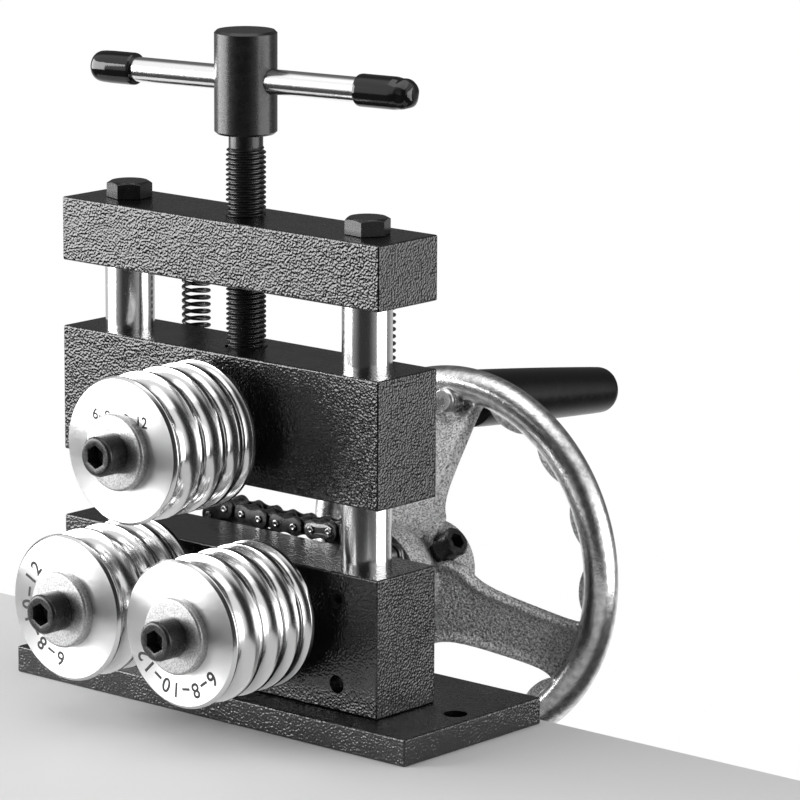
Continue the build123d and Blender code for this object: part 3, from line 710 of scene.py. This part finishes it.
# Return springs: open coils with a hook round each post
springLook = {
    "coil": 12.0, "wire": 1.45, "turns": 16, "post": 5.0, "coilGap": 2.4,
    "hookFrom": 200, "hookTo": -80, "perTurn": 30, "sides": 10,
}


# Hook, helix (r cos a, r sin a, falling with a) and hook. Each hook is three quarters of a circle
# round its post, in the plane y = 0, joined to the coil by a smoothed line.
def springPath(x, y, top, bottom):
    look = springLook
    r = (look["coil"] - look["wire"]) / 2
    loop = (look["post"] + look["wire"]) / 2 + 0.1
    coilTop, coilBottom = top - loop - look["coilGap"], bottom + loop + look["coilGap"]
    a = np.linspace(0, look["turns"] * 2 * np.pi, look["turns"] * look["perTurn"])
    helix = np.stack([r * np.cos(a), r * np.sin(a), np.linspace(coilTop, coilBottom, len(a))], -1)
    b = np.linspace(np.radians(look["hookFrom"]), np.radians(look["hookTo"]), 24)
    hookTop = np.stack([loop * np.cos(b), 0 * b, top + loop * np.sin(b)], -1)
    hookBottom = np.stack([-loop * np.cos(b[::-1]), 0 * b, bottom - loop * np.sin(b[::-1])], -1)
    joined = [hookTop, joinLine(hookTop, helix), helix, joinLine(helix, hookBottom), hookBottom]
    return np.concatenate(joined) + np.array((x, y, 0.0))


# Cubic from one line's end to the next one's start that keeps both directions
def joinLine(first, second, count=10):
    p0, p1 = first[-1], second[0]
    gap = np.linalg.norm(p1 - p0)
    d0, d1 = unit(first[-1] - first[-2]) * gap, unit(second[1] - second[0]) * gap
    t = np.linspace(0, 1, count + 2)[1:-1, None]
    leaving = (2 * t**3 - 3 * t**2 + 1) * p0 + (t**3 - 2 * t**2 + t) * d0
    return leaving + (3 * t**2 - 2 * t**3) * p1 + (t**3 - t**2) * d1


def addSprings():
    look = springLook
    low, high = boxOf("return_springs")
    top, bottom = high[2] + look["post"] / 2, low[2] - look["post"] / 2
    middleX, middleY, _ = (low + high) / 2
    springs = []
    for x in (low[0] + look["coil"] / 2, high[0] - look["coil"] / 2):
        springs += tube(springPath(x, middleY, top, bottom), look["wire"] / 2, look["sides"])
    start, end = [(middleX / 1000, middleY / 1000, z / 1000) for z in (top, bottom)]
    stretch = {"body": "press", "start": start, "end": end}
    nodes = ["return_springs"]
    addPiece("returnSprings", springs, [springSteel], "frame", nodes, blendTo=stretch)


addSprings()
print("bolts and springs ready")

# Roller chain round both sprockets
chainLook = {
    "pitch": 9.525, "teeth": 15, "runLinks": 7, "sag": 1.8,
    "plateHeight": 8.2, "waist": 1.15, "plateThick": 1.3, "plateGap": 0.15, "innerWidth": 5.72,
    "pinRadius": 1.64, "pinProud": 0.9, "rollerRadius": 3.175, "rollerBore": 1.7, "rollerEdge": 0.2,
    "clipThick": 0.7, "clipInner": 1.7, "clipOuter": 3.0,
}


# Pins' (x, z), clockwise from the top of the right sprocket: arc, straight run, arc, and a run
# that sags by a half sine
def chainJoints():
    look = chainLook
    pitchRadius = look["pitch"] / 2 / np.sin(np.pi / look["teeth"])
    step, wrap = 2 * np.pi / look["teeth"], (look["teeth"] - 1) // 2
    turn = -np.arange(wrap + 1)[:, None] * step
    arcs = []
    for node, start in (("right_shaft", np.pi / 2), ("left_shaft", 3 * np.pi / 2)):
        centre = middleOf(node)[[0, 2]]
        arcs.append(centre + pitchRadius * np.concatenate([np.cos(start + turn), np.sin(start + turn)], 1))
    share = np.arange(1, look["runLinks"])[:, None] / look["runLinks"]
    right, left = arcs
    top = left[-1] + (right[0] - left[-1]) * share - look["sag"] * np.sin(np.pi * share) * (0, 1)
    return np.concatenate([right, right[-1] + (left[0] - right[-1]) * share, left, top])


chainY = middleOf("chain_rollers")[1]
joints = chainJoints()


# Two round ends joined by lines that dip to a waist: half the height is that of the round ends
# less waist (1 - (2x / pitch)^2)^1.5
def plateOutline(steps=12):
    half, endRadius = chainLook["pitch"] / 2, chainLook["plateHeight"] / 2
    x = np.linspace(-half * 0.96, half * 0.96, steps)
    top = np.c_[x, endRadius - chainLook["waist"] * (1 - (x / half) ** 2) ** 1.5]
    a = np.linspace(np.pi / 2, -np.pi / 2, steps)
    rightEnd = np.c_[half + endRadius * np.cos(a), endRadius * np.sin(a)]
    return np.concatenate([top, rightEnd, -top, -rightEnd])[::-1]


# Place between two pins, x along the link, stand in front of the chain's middle
def linkPlace(i, stand):
    a, b = joints[i], joints[(i + 1) % len(joints)]
    along = unit(np.array((b[0] - a[0], 0.0, b[1] - a[1])))
    origin = np.array(((a[0] + b[0]) / 2, chainY - stand, (a[1] + b[1]) / 2))
    return origin, np.stack([along, np.cross(frontwards, along), frontwards])


# Front and back plate of every second link
def plates(first, innerFace):
    thick, outline, parts = chainLook["plateThick"], plateOutline(), []
    edge = [(0, 0.22), (0.12, 0.04), (0.25, 0)]
    levels = edge + [(thick - height, inset) for height, inset in edge[::-1]]
    for i in range(first, len(joints), 2):
        for stand in (innerFace, -innerFace - thick):
            parts += prism(outline, levels, linkPlace(i, stand))
    return parts


def turnedAtJoints(rows, segments, closed=False):
    return [turned(rows, axisPlace((x, chainY, z), frontwards), segments, closed) for x, z in joints]


# Pins with a riveted dimple in each end
def pinParts(half):
    radius = chainLook["pinRadius"]
    end = [(0, half - 0.25), (radius * 0.4, half - 0.1), (radius * 0.62, half)]
    end += [(radius * 0.85, half - 0.08), (radius, half - 0.4)]
    return turnedAtJoints([(r, -z) for r, z in end] + end[::-1], 20)


def rollerParts():
    radius, bore, edge = chainLook["rollerRadius"], chainLook["rollerBore"], chainLook["rollerEdge"]
    half = chainLook["innerWidth"] / 2 - 0.05
    front = [(radius, half - edge), (radius - edge, half), (bore, half)]
    return turnedAtJoints([(r, -z) for r, z in front[::-1]] + front, 24, closed=True)


# Spring clip: a slot shape open at one end, two prongs nipped in behind the open pin
def clipOutline():
    half, inner, outer = chainLook["pitch"] / 2, chainLook["clipInner"], chainLook["clipOuter"]
    a = np.linspace(np.pi / 2, 3 * np.pi / 2, 12)
    outside = np.c_[-half + outer * np.cos(a), outer * np.sin(a)]
    inside = np.c_[-half + inner * np.cos(a[::-1]), inner * np.sin(a[::-1])]
    prong = softened([
        (-half, outer, 0), (half - 0.5, outer, 1.5), (half + 2.6, 1.5, 0.5), (half + 1.4, 0.9, 0.4),
        (half + 0.2, 1.75, 0.8), (0, 1.25, 1.5), (-half, inner, 0),
    ])
    return np.concatenate([prong, inside, prong[::-1] * (1, -1), outside[::-1]])


def addChain():
    look = chainLook
    innerFace, thick, clipThick = look["innerWidth"] / 2, look["plateThick"], look["clipThick"]
    outerFace = innerFace + thick + look["plateGap"]
    clipPlace = linkPlace(len(joints) - 2, outerFace + thick)
    clipLevels = [(0.02, 0.12), (0.12, 0), (clipThick - 0.1, 0), (clipThick, 0.12)]
    pieces = (
        ("chainOuterPlates", plates(0, outerFace), chainSteel, "chain_outer_plates"),
        ("chainInnerPlates", plates(1, innerFace), chainSteel, "chain_inner_plates"),
        ("chainPins", pinParts(outerFace + thick + look["pinProud"]), pinSteel, "chain_pins"),
        ("chainRollers", rollerParts(), chainSteel, "chain_rollers"),
        ("chainClip", prism(clipOutline()[::-1], clipLevels, clipPlace), pinSteel, "chain_clip"),
    )
    for name, parts, finish, node in pieces:
        addPiece(name, parts, [finish], "frame", [node])


addChain()
print("chain ready:", len(joints), "links")

# Handwheel: hub, three dished spokes and a rim with finger lobes, cast in one
wheelLook = {
    "rimRadius": 73.0, "tube": 7.0, "rimBack": 55.0,
    "spokes": 3, "topAngle": 93.0,
    "spokeFront": (  # radius and depth behind the boss's front
        (17.0, 12.0), (22.0, 14.6), (28.0, 20.2), (40.0, 30.3), (52.0, 40.4), (60.0, 46.6), (66.0, 50.0),
        (72.0, 51.5),
    ),
    "spokeThick": 8.0, "sideRound": 1.8, "rootRadius": 22.0, "rootWidth": 28.0, "tipWidth": 23.0,
    "rootFlare": {"wide": 6.0, "radius": 24.0, "fade": 4.5},
    "tipFlare": {"wide": 8.0, "radius": 69.0, "fade": 3.5},
    "ribWidth": 3.4, "ribHeight": 2.6,
    "seat": {"radius": 66.0, "deep": 2.2, "flat": 6.5, "edge": 10.0},  # dip round the handle's stud
    "hub": (  # radius, depth and softening of each corner
        (9.0, 0.2, 0), (21.0, 0, 0.4), (21.7, 0.7, 0.4), (22.3, 11.0, 1.5), (19.6, 16.0, 3),
        (18.8, 27.0, 3), (18.6, 33.0, 3), (18.3, 41.0, 0.5), (17.7, 42.0, 0.4), (9.0, 42.0, 0),
    ),
    "lobes": 15, "lobeLength": 23.0, "lobeWide": 10.8, "lobeInset": 6.2, "lobeBack": 2.0,
    "voxel": 0.8, "smooth": 3,
}


# Polar frame of the wheel: x right, y up, z back from the boss's front
def wheelPlace():
    axis = middleOf("right_shaft")
    origin = np.array((axis[0], boxOf("handwheel")[0][1], axis[2]))
    return origin, np.array(((1.0, 0, 0), (0, 0, 1.0), (0, 1.0, 0)))


# Torus: ((R + t cos b) cos a, (R + t cos b) sin a, back + t sin b)
def rimPart(place, around=300, sides=40):
    look = wheelLook
    b = turnAngles(sides)[::-1]
    rows = np.c_[look["rimRadius"] + look["tube"] * np.cos(b), look["rimBack"] + look["tube"] * np.sin(b)]
    return turned(rows, place, around, closed=True)


# Finger lobes inside and a little behind the rim's tube, one every 24 degrees save at the spokes:
# ellipsoids whose long half runs along the rim
def lobeParts(place):
    look, parts = wheelLook, []
    b = np.linspace(0, np.pi, 17)
    rows = np.c_[look["lobeWide"] / 2 * np.sin(b), look["lobeLength"] / 2 * np.cos(b)]
    for i in range(look["lobes"]):
        if i % (look["lobes"] // look["spokes"]) == 0:
            continue
        angle = np.radians(look["topAngle"] - 360 / look["lobes"] * i)
        out = np.array((np.cos(angle), np.sin(angle), 0))
        along = np.array((-np.sin(angle), np.cos(angle), 0))
        centre = (look["rimRadius"] - look["lobeInset"]) * out + (0, 0, look["rimBack"] + look["lobeBack"])
        skin, quads = turned(rows, (centre, np.stack([out, (0, 0, 1.0), along])), 24)
        parts.append((placed(skin, place), quads))
    return parts


# Straight interpolation between the line's points, then a running average that rounds it
def smoothThrough(line, at):
    fine = np.interp(at, line[:, 0], line[:, 1])
    kernel = np.hanning(15)
    padded = np.pad(fine, 7, mode="reflect", reflect_type="odd")
    return np.convolve(padded, kernel / kernel.sum(), mode="valid")


# Bar carried outwards along the dished line: across it runs a front with two raised edges, round
# sides and a flat back. Its half width flares by exp(-distance / fade) near the hub and near the
# rim, and its front dips round the place of the handle's stud.
def spokePart(place, degrees, steps=90):
    look, sideRound, rib, seat = wheelLook, wheelLook["sideRound"], wheelLook["ribWidth"], wheelLook["seat"]
    line = np.array(look["spokeFront"])
    r = np.linspace(line[0, 0], line[-1, 0], steps)[:, None]
    front = smoothThrough(line, r[:, 0])[:, None]
    share = np.clip((r - look["rootRadius"]) / (look["rimRadius"] - look["rootRadius"]), 0, 1)
    half = (look["rootWidth"] + (look["tipWidth"] - look["rootWidth"]) * share) / 2
    for flare, past in ((look["rootFlare"], 1), (look["tipFlare"], -1)):
        half = half + flare["wide"] * np.exp(-np.maximum(past * (r - flare["radius"]), 0) / flare["fade"])
    v = np.linspace(-1, 1, 25)[None, :]
    across, edge = v * half, (1 - np.abs(v)) * half  # edge is the distance in from the nearer side
    raised = look["ribHeight"] * (1 - smoothStep(edge, rib - 1.6, rib + 1.0))
    rounding = np.clip(1 - (1 - np.clip(edge / sideRound, 0, 1)) ** 2, 0, 1)
    roundSide = sideRound * (1 - np.sqrt(rounding))
    dip = seat["deep"] * (1 - smoothStep(np.hypot(r - seat["radius"], across), seat["flat"], seat["edge"]))
    depth = front + look["ribHeight"] - raised + roundSide + dip
    back = front + look["spokeThick"] - roundSide
    across = np.concatenate([across, across[:, ::-1]], 1)
    height = np.concatenate([depth, back[:, ::-1]], 1)
    angle = np.radians(degrees)
    out = np.array((np.cos(angle), np.sin(angle), 0))
    side = np.array((np.sin(angle), -np.cos(angle), 0))
    local = r[..., None] * out + across[..., None] * side + height[..., None] * np.array(upwards)
    return closedSkin(placed(local, place), steps, across.shape[1])


# All cast parts joined, remeshed as one skin and smoothed, which leaves casting fillets
def addHandwheel():
    look, place = wheelLook, wheelPlace()
    hub = turned(softened(look["hub"]), place, 120, closed=True)
    parts = [rimPart(place), hub, *lobeParts(place)]
    for i in range(look["spokes"]):
        parts += spokePart(place, look["topAngle"] - 360 / look["spokes"] * i)
    wheel = addPiece("handwheel_cast", parts, [castGrey], "drive_set", ["handwheel"])
    remesh = wheel.modifiers.new("skin", "REMESH")
    remesh.mode, remesh.voxel_size, remesh.use_smooth_shade = "VOXEL", look["voxel"] / 1000, True
    soften = wheel.modifiers.new("soften", "SMOOTH")
    soften.factor, soften.iterations = 0.5, look["smooth"]
    bpy.context.view_layer.update()
    graph = bpy.context.evaluated_depsgraph_get()
    skin = bpy.data.meshes.new_from_object(wheel.evaluated_get(graph))
    wheel.modifiers.clear()
    wheel.data = skin
    finishMesh(skin, 60)
    print("handwheel faces:", len(skin.polygons))


addHandwheel()

# Handle: threaded stud and turning grip
handleLook = {
    "lean": 6.4, "front": 12.0, "rear": 9.65, "length": 90.0, "edge": 1.5, "swell": 0.25,
    "bore": 5.05, "endThick": 8.0,
    "stud": 5.0, "studAhead": 18.3, "studEnd": 104.2,
    "pitch": 1.5, "depth": 0.85, "threadLength": 15.5,
    "shoulder": 7.5, "shoulderFrom": 17.0, "shoulderTo": 22.5,
}


# Middle of the grip's front: its lower front corner is the box's frontmost point and its upper
# one the highest, both rounded by edge
def handleFront():
    look, lean = handleLook, np.radians(handleLook["lean"])
    low, high = boxOf("grip")
    inner = look["front"] - look["edge"]
    y = low[1] + look["edge"] * (1 - np.cos(lean)) + inner * np.sin(lean)
    z = high[2] - look["edge"] * (1 - np.sin(lean)) - inner * np.cos(lean)
    return np.array(((low[0] + high[0]) / 2, y, z)), np.array((0.0, np.cos(lean), -np.sin(lean)))


# Taper with a soft front edge, a half sine's faint swell and a domed rear end; the bore is closed
# inside
def gripRows():
    look, bore = handleLook, handleLook["bore"]
    front, rear, length = look["front"], look["rear"], look["length"]
    t = np.linspace(0.06, 0.9, 14)
    side = np.c_[front + (rear - front) * t + look["swell"] * np.sin(np.pi * t), length * t]
    nose = softened([(bore, 0, 0), (front - 0.2, 0, 1.0), (side[0, 0], side[0, 1], 0)])
    tail = [(side[-1, 0], side[-1, 1], 0), (rear - 0.1, length - 0.3, 4.0), (0, length, 0)]
    inside = length - look["endThick"]
    return np.concatenate([nose[:-1], side, softened(tail, steps=12)[1:], [(0, inside), (bore, inside)]])


# Threaded front end, then the plain pin with the shoulder that the grip runs against
def studParts(place):
    look = handleLook
    r, root, thread = look["stud"], look["stud"] - look["depth"], look["threadLength"]
    wide, start, stop = look["shoulder"], look["shoulderFrom"], look["shoulderTo"]
    pin = [(0, thread - 0.5), (root, thread - 0.5), (r, thread + 0.5), (r, start), (wide - 0.2, start)]
    pin += [(wide, start + 0.2), (wide, stop - 0.2), (wide - 0.2, stop), (r, stop)]
    pin += [(r, look["studEnd"]), (0, look["studEnd"])]
    ridge = threadSkin(place, 0.0, thread, look["pitch"], r, look["depth"], 36)
    return [ridge, turned([(0, 0), (root, 0)], place, 36), turned(pin, place, 48)]


def addHandle():
    front, way = handleFront()
    grip = turned(gripRows(), axisPlace(front, way), 96, closed=True)
    addPiece("handleGrip", [grip], [gripBlack], "grip", ["grip"])
    stud = studParts(axisPlace(front - way * handleLook["studAhead"], way))
    addPiece("handleStud", stud, [zincSteel], "drive_set", ["handle_stud"], sharp=40)


addHandle()
print("handwheel and handle ready")

# Stage: a pale slab that ends behind the base plate, so that the wheel hangs free past its edge
stageLook = {"shade": 0.74, "rough": 0.6, "low": (-0.3, -0.21, -0.04), "high": (0.3, 0.046, 0.0)}


# Box of the stage from its lowest to its highest corner
def addSlab():
    (x0, y0, z0), (x1, y1, z1) = stageLook["low"], stageLook["high"]
    ring = ((x0, y0), (x1, y0), (x1, y1), (x0, y1))
    corners = [(x, y, z) for z in (z0, z1) for x, y in ring]
    faces = [(3, 2, 1, 0), (4, 5, 6, 7), (0, 1, 5, 4), (1, 2, 6, 5), (2, 3, 7, 6), (3, 0, 4, 7)]
    mesh = bpy.data.meshes.new("slab")
    mesh.from_pydata(corners, [], faces)
    paint = Paint("palePaint", Base_Color=grey(stageLook["shade"]), Roughness=stageLook["rough"])
    mesh.materials.append(paint.material)
    addObject("slab", mesh)


addSlab()

# World: bearings are in degrees from +Y towards +X
roomLook = {
    "plain": 0.32,  # level that lights the object evenly
    "screens": (  # dark screens: half width, lowest and highest height
        {"bearing": 151.0, "half": 33.0, "soft": 12.0, "low": -0.7, "high": 0.9, "dark": 0.03},
        {"bearing": 332.0, "half": 60.0, "soft": 12.0, "low": -0.2, "high": 0.92, "dark": 0.13},
    ),
    "ground": 0.05,  # floor level on the camera's side; it is white behind the object
    "behind": 319.0, "behindFrom": 0.3, "behindTo": 0.8,
    "floorFrom": -0.2, "floorTo": -0.06,  # height where the floor gives way to the white room
}


# White for the camera and an even level for scattered light. Gloss sees a white room with a dark
# screen on the camera's side and one behind, as functions of bearing and height.
def setWorld():
    look = roomLook
    world = bpy.data.worlds.new("studio")
    bpy.context.scene.world = world
    world.use_nodes = True
    room = Nodes(world.node_tree)
    direction = room.vector("NORMALIZE", room.add("ShaderNodeTexCoord").outputs["Generated"])
    height = room.add("ShaderNodeSeparateXYZ", {0: direction}).outputs["Z"]
    level = room.vector("NORMALIZE", room.vector("MULTIPLY", direction, (1, 1, 0)))

    def towards(degrees):
        bearing = np.radians(degrees)
        return room.vector("DOT_PRODUCT", level, (np.sin(bearing), np.cos(bearing), 0))

    floor = room.ramp(towards(look["behind"]), look["behindFrom"], look["behindTo"], look["ground"], 1.0)
    seen = room.mixLevel(room.ramp(height, look["floorFrom"], look["floorTo"]), floor, 1.0)
    for screen in look["screens"]:
        half, soft = np.radians(screen["half"]), np.radians(screen["soft"])
        across = room.ramp(towards(screen["bearing"]), np.cos(half + soft), np.cos(half - soft))
        bottom = room.ramp(height, screen["low"] - 0.1, screen["low"] + 0.1)
        top = room.ramp(height, screen["high"] - 0.15, screen["high"] + 0.15, 1.0, 0.0)
        shadow = room.math("MULTIPLY", room.math("MULTIPLY", bottom, top), across)
        seen = room.mixLevel(shadow, seen, screen["dark"])
    path = room.add("ShaderNodeLightPath").outputs
    gloss = room.math("MAXIMUM", path["Is Glossy Ray"], path["Is Transmission Ray"])
    light = room.mixLevel(path["Is Camera Ray"], room.mixLevel(gloss, look["plain"], seen), 1.0)
    room.tree.links.new(light, room.tree.nodes["Background"].inputs["Color"])


lampLook = {  # bearing and distance from the middle, height, width and height of the box, brightness
    "leftBox": {"bearing": 233.0, "away": 1.6, "z": 0.44, "wide": 1.5, "tall": 1.2, "bright": 8.0},
    "rightBox": {"bearing": 67.0, "away": 1.6, "z": 0.2, "wide": 1.5, "tall": 1.2, "bright": 3.2},
    "topBox": {"bearing": 180.0, "away": 0.15, "z": 1.5, "wide": 1.2, "tall": 1.2, "bright": 1.2},
}
aimHeight = 0.1  # the lamps face this height on the z axis, in metres


# Soft box that faces the object; its power is brightness times pi times its area
def addLamp(name):
    look = lampLook[name]
    bearing = np.radians(look["bearing"])
    place = np.array((np.sin(bearing) * look["away"], np.cos(bearing) * look["away"], look["z"]))
    lamp = bpy.data.lights.new(name, "AREA")
    lamp.shape, lamp.size, lamp.size_y = "RECTANGLE", look["wide"], look["tall"]
    lamp.energy = look["bright"] * np.pi * look["wide"] * look["tall"]
    holder = addObject(name, lamp)
    holder.visible_camera = False
    setMatrix(holder, axisPlace((0, 0, 0), place - np.array((0, 0, aimHeight)))[1].T, place)


def setMatrix(holder, columns, place):
    matrix = np.eye(4)
    matrix[:3, :3], matrix[:3, 3] = columns, place
    holder.matrix_world = Matrix(matrix.tolist())


setWorld()
for lampName in lampLook:
    addLamp(lampName)

# Camera at the photograph's place
cameraLook = {
    "place": (1.25631, -1.38260, 0.52068), "yaw": -0.71061, "pitch": 0.20957, "roll": 0.00535,
    "focalPixels": 4769.58, "framePixels": 800.0, "sensor": 36.0, "clipEnd": 20.0,
}


# Axes: forward from yaw and pitch, right level with the floor, both then rolled about forward
def addCamera():
    look = cameraLook
    yaw, pitch, roll = look["yaw"], look["pitch"], look["roll"]
    forward = np.array((np.sin(yaw) * np.cos(pitch), np.cos(yaw) * np.cos(pitch), -np.sin(pitch)))
    right = np.array((np.cos(yaw), -np.sin(yaw), 0.0))
    up = np.cross(right, forward)
    rolledRight = np.cos(roll) * right + np.sin(roll) * up
    rolledUp = np.cos(roll) * up - np.sin(roll) * right
    camera = bpy.data.cameras.new("camera")
    camera.sensor_width, camera.clip_end = look["sensor"], look["clipEnd"]
    camera.lens = look["focalPixels"] / look["framePixels"] * look["sensor"]
    holder = addObject("camera", camera)
    setMatrix(holder, np.stack([rolledRight, rolledUp, -forward], 1), look["place"])
    bpy.context.scene.camera = holder


addCamera()
bpy.context.scene.view_settings.view_transform = "Standard"
print("stage, lights and camera ready")
